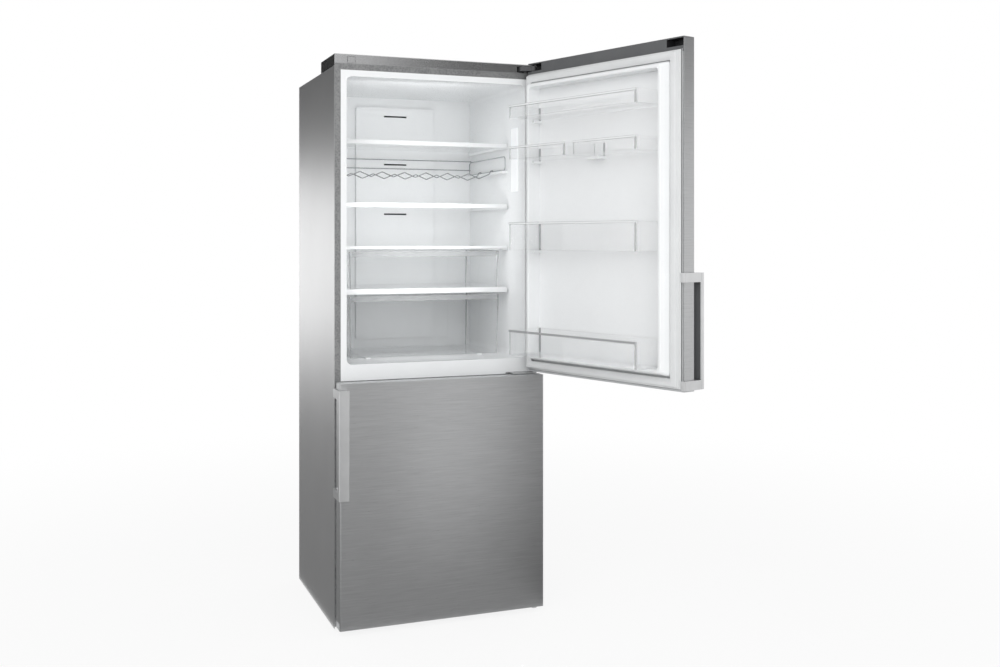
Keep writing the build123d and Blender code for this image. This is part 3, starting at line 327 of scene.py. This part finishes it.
nodeSlots = {part["node"]: part["material_slot"] for part in frame["record"]["subparts"]}
ownFinish = {"shelf_trims": "trim_white_painted_shade", "drawer_divider": "trim_white_painted_shade"}  # a darker copy of the liner's white: painted shade on the trims and the divider
softEdges = {"weld": 0.00001, "segments": 2, "bevelFrom": 35, "crease": 40, "flatsCrease": 60}
roundPieces = ("wine_rack", "condenser_coil", "evaporator", "compressor")  # their flats are smoothed by shade
edgeRounding = {  # metres; solids not named stay crisp
    "cabinet_panels": 0.0004, "top_cover": 0.0008, "shelf_trims": 0.0008, "drawer_divider": 0.0012,
    "fridge_liner": 0.0006, "fridge_duct_cover": 0.0015, "fridge_door_liner": 0.003,
    "freezer_door_liner": 0.002, "upper_drawer": 0.001, "lower_drawer": 0.001, "top_bin": 0.0011,
    "half_bins": 0.0011, "middle_bin": 0.0011, "bottle_bin": 0.0011, "bin_rims": 0.0012,
    "fridge_handle": 0.001, "freezer_handle": 0.001, "fridge_door_top_cap": 0.0012,
    "fridge_door_bottom_cap": 0.0012, "freezer_door_caps": 0.0012, "top_hinge": 0.0012,
    "middle_hinge": 0.0008, "lower_hinge": 0.0008, "hinge_slot_plug": 0.0005,
    "freezer_top_drawer": 0.0008, "freezer_middle_drawer": 0.0008, "freezer_bottom_drawer": 0.0008,
    "upper_shelf_glass": 0.0006, "middle_shelf_glass": 0.0006, "crisper_cover_glass": 0.0006,
}


def addCreases(piece, degrees):
    split = piece.modifiers.new("creases", "EDGE_SPLIT")
    split.split_angle = math.radians(degrees)


def smoothByAngle(piece, rounding, degrees):
    if "custom_normal" in piece.data.attributes:
        piece.data.attributes.remove(piece.data.attributes["custom_normal"])
    for face in piece.data.polygons:
        face.use_smooth = True
    weld = piece.modifiers.new("weld", "WELD")
    weld.merge_threshold = softEdges["weld"]
    if rounding:
        bevel = piece.modifiers.new("rounding", "BEVEL")
        bevel.width = rounding
        bevel.segments = softEdges["segments"]
        bevel.limit_method = "ANGLE"
        bevel.angle_limit = math.radians(softEdges["bevelFrom"])
        bevel.harden_normals = True
    addCreases(piece, degrees)


for nodeName, node in cadNodes.items():
    node.data.materials.clear()
    node.data.materials.append(finishes[ownFinish.get(nodeName, nodeSlots[nodeName])])
    crease = softEdges["flatsCrease"] if nodeName in roundPieces else softEdges["crease"]
    smoothByAngle(node, edgeRounding.get(nodeName, 0.0), crease)


# Cut edges and tight corners of the clear walls get a grey, less clear finish, and their rounded edges a
# darker grey: painted shade lines

clearWalls = {
    "bins": ("top_bin", "half_bins", "middle_bin", "bottle_bin"),
    "drawers": ("upper_drawer", "lower_drawer"),
    "freezer": ("freezer_top_drawer", "freezer_middle_drawer", "freezer_bottom_drawer"),
    "widest": 0.0031, "lip": 0.0092, "frontWall": 0.0062,  # metres
    "upright": 0.3, "corner": 0.3, "level": 0.9,  # limits for a face's normal
}


def markClearEdges(piece, isEdge, edgeName="clear_edge_shade"):
    piece.data.materials.append(finishes[edgeName])
    # rounded edges take the darker grey: painted shade lines
    piece.data.materials.append(finishes["clear_line_shade"])
    piece.modifiers["rounding"].material = 2
    front = min(vertex.co.y for vertex in piece.data.vertices)
    for face in piece.data.polygons:
        if isEdge(piece, face, front):
            face.material_index = 1


# The three tests take the same arguments, whether they use them or not
def narrowFace(piece, face, front):
    corners = [piece.data.vertices[index].co for index in face.vertices]
    longest = max((first - second).length for first, second in zip(corners, corners[1:] + corners[:1]))
    return 2 * face.area < clearWalls["widest"] * longest


# corner faces, narrow tops and the front lip of the drawers get painted shade
def drawerEdge(piece, face, front):
    upright = abs(face.normal.z) < clearWalls["upright"]
    cornerMiddle = upright and abs(abs(face.normal.x) - abs(face.normal.y)) < clearWalls["corner"]
    level = narrowFace(piece, face, front) and face.normal.z > clearWalls["level"]
    return cornerMiddle or level or face.center.y < front + clearWalls["lip"]


def frontPanel(piece, face, front):
    return face.center.y < front + clearWalls["frontWall"]


for nodeName in clearWalls["freezer"]:
    markClearEdges(cadNodes[nodeName], frontPanel, "frosted_front")
for nodeName in clearWalls["bins"]:
    markClearEdges(cadNodes[nodeName], narrowFace)
for nodeName in clearWalls["drawers"]:
    markClearEdges(cadNodes[nodeName], drawerEdge)


# Strips on the bins have grey borders, and the lowest strip is grey all over

binStrips = {"greyBelow": 1.0}  # metres up; only the lowest strip lies under it


def greyBorders(piece):
    piece.data.materials.append(finishes["rim_grey"])
    piece.modifiers["rounding"].material = 1
    for face in piece.data.polygons:
        if face.center.z < binStrips["greyBelow"]:
            face.material_index = 1


greyBorders(cadNodes["bin_rims"])
print("solids dressed")


# Mesh helpers for the added pieces

def addPiece(name, bm, slotName, body):
    bmesh.ops.recalc_face_normals(bm, faces=bm.faces[:])
    mesh = bpy.data.meshes.new(name)
    bm.to_mesh(mesh)
    bm.free()
    for face in mesh.polygons:
        face.use_smooth = True
    piece = bpy.data.objects.new(name, mesh)
    scene.collection.objects.link(piece)
    mesh.materials.append(finishes[slotName])
    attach(piece, body)
    return piece


def joinLoops(bm, first, second, finishIndex=0):
    for index in range(len(first)):
        after = (index + 1) % len(first)
        face = bm.faces.new((first[index], first[after], second[after], second[index]))
        face.material_index = finishIndex


# The upper door rests open, so its pieces are measured and drawn shut and then swung

upperDoor = {"pin": Vector((0.329, -0.032, 0)), "open": math.radians(108.1)}
toPin = Matrix.Translation(upperDoor["pin"])
swing = toPin @ Matrix.Rotation(upperDoor["open"], 4, "Z") @ Matrix.Translation(-upperDoor["pin"])
unswing = swing.inverted()


def doorPoint(x, y, z, opened):
    point = Vector((x, y, z))
    return swing @ point if opened else point


def shutBox(nodeName, opened):
    points = [vertex.co for vertex in cadNodes[nodeName].data.vertices]
    if opened:
        points = [unswing @ point for point in points]
    low = Vector(min(point[axis] for point in points) for axis in range(3))
    high = Vector(max(point[axis] for point in points) for axis in range(3))
    return low, high


# The pockets for the hinge arm, at both ends of the upper door's top cap, are painted black inside as shade

hingePockets = {"length": 0.068, "depth": 0.036, "skin": 0.0005}


def paintPocketShade(nodeName):
    low, high = shutBox(nodeName, True)
    piece = cadNodes[nodeName]
    piece.data.materials.append(finishes["black_plastic"])
    skin = hingePockets["skin"]
    for face in piece.data.polygons:
        centre = unswing @ face.center
        fromEnd = min(centre.x - low.x, high.x - centre.x)
        lengthwise = skin < fromEnd < hingePockets["length"]
        depthwise = skin < high.y - centre.y < hingePockets["depth"]
        if lengthwise and depthwise and low.z + skin < centre.z < high.z - skin:
            # faces deep inside a pocket turn black: painted shade
            face.material_index = 1


paintPocketShade("fridge_door_top_cap")


# Door seals: a bellows strip with a flat magnet face, mitred at the corners, with painted shade on the outer
# folds

sealShape = {
    "width": 0.028, "crease": 60, "shaded": 0.14,  # outer folds get painted shade, dark grey, up to this share of the width
    "outline": [  # share of the strip's width inwards, share of its height off the panel
        (0.0, 0.0), (0.06, 0.13), (0.16, 0.2), (0.13, 0.3), (0.15, 0.37), (0.26, 0.46), (0.22, 0.56),
        (0.235, 0.6), (0.35, 0.69), (0.32, 0.8), (0.34, 0.87), (0.41, 0.97), (0.47, 1.0), (0.78, 1.0),
        (0.88, 0.96), (1.04, 0.88), (1.15, 0.79), (1.14, 0.75), (1.0, 0.78), (0.86, 0.76), (0.8, 0.66),
        (0.88, 0.55), (0.9, 0.42), (0.84, 0.3), (0.95, 0.2), (1.0, 0.08), (1.0, 0.0),
    ],
}


def bellowsSeal(name, nodeName, body, opened):
    low, high = shutBox(nodeName, opened)
    outline = sealShape["outline"]
    bm = bmesh.new()
    loops = []
    for inward, lift in outline:
        inset = inward * sealShape["width"]
        y = low.y + lift * (high.y - low.y)
        corners = [(low.x + inset, low.z + inset), (high.x - inset, low.z + inset),
                   (high.x - inset, high.z - inset), (low.x + inset, high.z - inset)]
        loops.append([bm.verts.new(doorPoint(x, y, z, opened)) for x, z in corners])
    for row in range(len(outline)):
        after = (row + 1) % len(outline)
        # the outer folds take the dark grey finish as painted shade of the gap beside the door
        outer = max(outline[row][0], outline[after][0]) < sealShape["shaded"]
        joinLoops(bm, loops[row], loops[after], 1 if outer else 0)
    piece = addPiece(name, bm, "seal_grey", body)
    piece.data.materials.append(finishes["dark_grey_plastic"])
    addCreases(piece, sealShape["crease"])
    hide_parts(nodeName)


bellowsSeal("upper_door_seal", "fridge_door_gasket", "fridge_door", True)
bellowsSeal("lower_door_seal", "freezer_door_gasket", "freezer_door", False)
print("seals made")


# Black sheets behind the slots of the air duct, painted shade inside the slots, each with a lower lip a
# little further out

ductSlots = {"levels": (1.711, 1.532, 1.347), "halfWidth": 0.0435, "height": 0.0054, "lip": 0.0008,
             "sunk": 0.0052, "step": 0.0003, "thick": 0.0005}


def ductSlotShade():
    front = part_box("fridge_duct_cover")[0].y
    across = ductSlots["halfWidth"]
    half = ductSlots["height"] / 2
    lipTop = -half + ductSlots["lip"]
    bm = bmesh.new()
    for level in ductSlots["levels"]:
        y = front + ductSlots["sunk"]
        for bottom, top in ((-half, lipTop), (lipTop, half)):
            corners = ((-across, bottom), (across, bottom), (across, top), (-across, top))
            bm.faces.new([bm.verts.new((x, y, level + rise)) for x, rise in corners])
            y += ductSlots["step"]
    # black sheets: painted shade in the slots
    piece = addPiece("duct_slot_shade", bm, "black_plastic", "cabinet")
    thick = piece.modifiers.new("thickness", "SOLIDIFY")
    thick.thickness = ductSlots["thick"]


ductSlotShade()


# Dark strips that lie in the channel along the back of each handle bar: painted shade of the channel

channelShadeShape = {
    "barWidth": 0.035, "barDepth": 0.014, "channel": 0.006, "wall": 0.004, "bracket": 0.028, "play": 0.0003,
    "taper": 0.004, "endHeight": 0.7, "crease": 38,
    "outline": [  # share of the channel's width, share of its depth
        (0.0, 0.0), (0.0, 0.78), (0.06, 0.86), (0.2, 0.66), (0.5, 0.56), (0.8, 0.66), (0.94, 0.86),
        (1.0, 0.78), (1.0, 0.0),
    ],
}


def handleChannelShade(name, nodeName, body, opened):
    low, high = shutBox(nodeName, opened)
    play = channelShadeShape["play"]
    left = low.x + channelShadeShape["wall"] + play
    right = low.x + channelShadeShape["barWidth"] - channelShadeShape["wall"] - play
    floor = low.y + channelShadeShape["barDepth"] - channelShadeShape["channel"] + play
    bottom = low.z + channelShadeShape["bracket"] + play
    top = high.z - channelShadeShape["bracket"] - play
    taper = channelShadeShape["taper"]
    end = channelShadeShape["endHeight"]
    bm = bmesh.new()
    loops = []
    for z, share in ((bottom, end), (bottom + taper, 1.0), (top - taper, 1.0), (top, end)):
        loop = []
        for across, lift in channelShadeShape["outline"]:
            x = left + across * (right - left)
            y = floor + lift * share * channelShadeShape["channel"]
            loop.append(bm.verts.new(doorPoint(x, y, z, opened)))
        loops.append(loop)
    for first, second in zip(loops, loops[1:]):
        joinLoops(bm, first, second)
    bm.faces.new(loops[0])
    bm.faces.new(list(reversed(loops[-1])))
    # dark grey strip: painted shade in the channel
    addCreases(addPiece(name, bm, "dark_grey_plastic", body), channelShadeShape["crease"])


handleChannelShade("upper_handle_channel_shade", "fridge_handle", "fridge_door", True)
handleChannelShade("lower_handle_channel_shade", "freezer_handle", "freezer_door", False)


# Pan-head screws at the back, with a cross recess

screwShape = {
    "radius": 0.0042, "height": 0.0022, "sides": 20, "crown": 0.99, "recess": 0.0011,
    "rings": [(1.0, 0.0), (1.0, 0.35), (0.86, 0.78), (0.55, 0.97)],  # share of radius, share of height
    "wings": 4, "wingCorners": 2, "wing": 0.46, "web": 0.2,
}
screwPlaces = {"coverRow": (-0.32, -0.16, 0.0, 0.16, 0.32), "coverDrop": 0.012,
               "columns": (-0.335, 0.335), "levels": (0.32, 0.7, 1.08, 1.46)}


def addScrew(bm, place):
    turn = Vector((0, 0, 1)).rotation_difference(Vector((0, 1, 0))).to_matrix().to_4x4()
    stand = Matrix.Translation(Vector(place)) @ turn
    sides = screwShape["sides"]
    wingStep = sides // screwShape["wings"]
    cross = []
    for index in range(sides):
        onWing = index % wingStep < screwShape["wingCorners"]
        cross.append(screwShape["wing"] if onWing else screwShape["web"])
    crown = screwShape["height"] * screwShape["crown"]
    rings = [([share] * sides, screwShape["height"] * lift) for share, lift in screwShape["rings"]]
    rings += [(cross, crown), (cross, crown - screwShape["recess"])]
    loops = []
    for shares, level in rings:
        loop = []
        for index, share in enumerate(shares):
            angle = 2 * math.pi * index / sides
            radius = screwShape["radius"] * share
            point = Vector((radius * math.cos(angle), radius * math.sin(angle), level))
            loop.append(bm.verts.new(stand @ point))
        loops.append(loop)
    for first, second in zip(loops, loops[1:]):
        joinLoops(bm, first, second)
    bm.faces.new(loops[-1])
    bm.faces.new(list(reversed(loops[0])))


def backScrews():
    bm = bmesh.new()
    y = cadBox[1].y - screwShape["height"]
    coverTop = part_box("rear_cover")[1].z
    for x in screwPlaces["coverRow"]:
        addScrew(bm, (x, y, coverTop - screwPlaces["coverDrop"]))
    for x in screwPlaces["columns"]:
        for z in screwPlaces["levels"]:
            addScrew(bm, (x, y, z))
    addPiece("sheet_screws", bm, "zinc_steel", "cabinet")


backScrews()
print("small fittings made")


# Stage: world and floor are white where they are seen, and dimmer as lamps

studio = {"floor": (0.88, 0.88, 0.88), "floorSize": (80.0, 80.0), "floorRough": 0.9, "nearGlow": 0.86,
          "fadeFrom": 1.0, "fadeTo": 4.0, "ambient": 0.67}


def joinNumbers(tree, operation, first, second, clamped=False):
    total = tree.nodes.new("ShaderNodeMath")
    total.operation = operation
    total.use_clamp = clamped
    tree.links.new(first, total.inputs[0])
    tree.links.new(second, total.inputs[1])
    return total.outputs[0]


def whiteWhenSeen(tree):
    path = tree.nodes.new("ShaderNodeLightPath")
    direct = joinNumbers(tree, "ADD", path.outputs["Is Camera Ray"], path.outputs["Is Glossy Ray"])
    return joinNumbers(tree, "ADD", direct, path.outputs["Is Transmission Ray"], True)


def mixShaders(tree, share, dim, bright, outputName):
    mix = tree.nodes.new("ShaderNodeMixShader")
    tree.links.new(share, mix.inputs["Fac"])
    tree.links.new(dim.outputs[0], mix.inputs[1])
    tree.links.new(bright.outputs[0], mix.inputs[2])
    tree.links.new(mix.outputs[0], tree.nodes[outputName].inputs["Surface"])


def flatSheet(name, size):
    w, h = size[0] / 2, size[1] / 2
    mesh = bpy.data.meshes.new(name)
    mesh.from_pydata([(-w, -h, 0), (w, -h, 0), (w, h, 0), (-w, h, 0)], [], [(0, 1, 2, 3)])
    sheet = bpy.data.objects.new(name, mesh)
    scene.collection.objects.link(sheet)
    return sheet


def makeWorld():
    scene.world = bpy.data.worlds.new("studio")
    scene.world.use_nodes = True
    tree = scene.world.node_tree
    dim = tree.nodes["Background"]
    setInputs(dim, {"Color": white, "Strength": studio["ambient"]})
    bright = tree.nodes.new("ShaderNodeBackground")
    setInputs(bright, {"Color": white, "Strength": 1.0})
    mixShaders(tree, whiteWhenSeen(tree), dim, bright, "World Output")


def makeFloor():
    floor = flatSheet("floor", studio["floorSize"])
    material, tree, shader = startMaterial("floor_white")
    setInputs(shader, {"Base Color": (*studio["floor"], 1), "Roughness": studio["floorRough"],
                       "Specular IOR Level": 0.0})
    glow = tree.nodes.new("ShaderNodeEmission")
    setInputs(glow, {"Color": white, "Strength": 1.0})
    away = tree.nodes.new("ShaderNodeVectorMath")  # the floor turns fully white away from the object
    away.operation = "LENGTH"
    tree.links.new(stretchedCoords(tree), away.inputs[0])
    fade = tree.nodes.new("ShaderNodeMapRange")
    fade.interpolation_type = "SMOOTHSTEP"
    setInputs(fade, {"From Min": studio["fadeFrom"], "From Max": studio["fadeTo"],
                     "To Min": studio["nearGlow"], "To Max": 1.0})
    tree.links.new(away.outputs["Value"], fade.inputs["Value"])
    share = joinNumbers(tree, "MULTIPLY", whiteWhenSeen(tree), fade.outputs["Result"])
    mixShaders(tree, share, shader, glow, "Material Output")
    floor.data.materials.append(material)


makeWorld()
makeFloor()


# Lamps: the four of the studio, and a soft one at the mouth of each space inside

studioLamps = {
    "key_lamp": {"place": (-2.4, -3.2, 3.0), "target": (0, 0, 1.0), "size": (2.6, 2.6), "power": 48.0},
    "fill_lamp": {"place": (2.6, -3.0, 1.8), "target": (0, 0, 0.9), "size": (2.0, 2.4), "power": 7.0},
    "front_lamp": {"place": (0.1, -3.2, 1.45), "target": (0, 0.2, 1.3), "size": (1.2, 1.2), "power": 15.5},
    "strip_lamp": {"place": (-1.6, 4.8, 1.08), "target": (-0.35, 0.3, 1.15), "size": (2.4, 1.5),
                   "power": 12.4, "mirrored": True},
}
insideLamps = {
    "place": (-0.05, 0.04), "target": (0.0, 0.5), "size": (0.4, 0.05), "power": 0.2,
    "levels": {1.7: 1.0, 1.43: 1.2, 1.3: 1.9, 1.14: 1.1, 0.97: 0.9},  # metres up, share of the power
}


def addLamp(name, place, target, size, power, mirrored=False):
    lamp = bpy.data.lights.new(name, "AREA")
    lamp.shape = "RECTANGLE"
    lamp.size, lamp.size_y = size
    lamp.energy = power
    holder = bpy.data.objects.new(name, lamp)
    scene.collection.objects.link(holder)
    holder.location = place
    holder.rotation_euler = (Vector(target) - Vector(place)).to_track_quat("-Z", "Y").to_euler()
    holder.visible_camera = False
    holder.visible_glossy = mirrored
    holder.visible_transmission = False


for lampName, lampLook in studioLamps.items():
    addLamp(lampName, **lampLook)
for level, share in insideLamps["levels"].items():
    addLamp("inside_lamp", (*insideLamps["place"], level), (*insideLamps["target"], level),
            insideLamps["size"], insideLamps["power"] * share)


# Cards that only reflections see: greys for the steel to mirror

reflectionCards = {  # centre, size across and up, turn about z, tilt, grey
    "floor_card_near": ((0.6, -0.75, 0.004), (4.2, 1.3), 0, 0, 0.24),
    "floor_card_left": ((-0.39, -4.26, 0.004), (2.9, 5.2), 19, 0, 0.28),
    "floor_card_right": ((3.32, -3.3, 0.004), (3.2, 5.2), 19, 0, 0.03),
    "front_card_high": ((2.9, -4.4, 2.9), (3.6, 2.6), 0, 90, 0.1),
    "side_card_high": ((-3.15, 5.0, 4.7), (7.1, 6.0), 0, 90, 0.02),
    "floor_card_corner": ((1.05, -0.75, 0.006), (1.3, 1.3), 0, 0, 0.08),
    "side_card_low": ((-2.2, 5.0, 0.3), (5.0, 0.6), 0, 90, 0.55),
    "side_card_floor": ((-1.86, 2.2, 0.004), (3.0, 5.4), 0, 0, 0.22),
    "edge_card_high": ((3.3, -1.86, 3.1), (2.4, 1.9), 67, 90, 0.05),
    "edge_card_low": ((2.93, -1.7, 0.55), (1.6, 1.0), 67, 90, 1.0),
}


def addCard(name, place, size, turn, tilt, grey):
    card = flatSheet(name, size)
    card.location = place
    card.rotation_euler = (math.radians(tilt), 0, math.radians(turn))
    material, _, shader = startMaterial(name)
    setInputs(shader, {"Base Color": black, "Specular IOR Level": 0.0, "Emission Color": white,
                       "Emission Strength": grey})
    card.data.materials.append(material)
    card.visible_camera = False
    card.visible_diffuse = False
    card.visible_transmission = False
    card.visible_shadow = False


for cardName, cardLook in reflectionCards.items():
    addCard(cardName, *cardLook)


# Camera of the photograph's view: level, with the lens shifted down

view = {"place": (-1.163, -3.551, 1.258), "turn": 21.26, "lens": 40.54, "sensor": 36.0, "shiftY": -0.0955}
camera = bpy.data.objects.new("camera", bpy.data.cameras.new("camera"))
scene.collection.objects.link(camera)
camera.location = view["place"]
camera.rotation_euler = (math.radians(90), 0, -math.radians(view["turn"]))
camera.data.sensor_fit = "HORIZONTAL"
camera.data.sensor_width = view["sensor"]
camera.data.lens = view["lens"]
camera.data.shift_y = view["shiftY"]
scene.camera = camera
print("stage set")
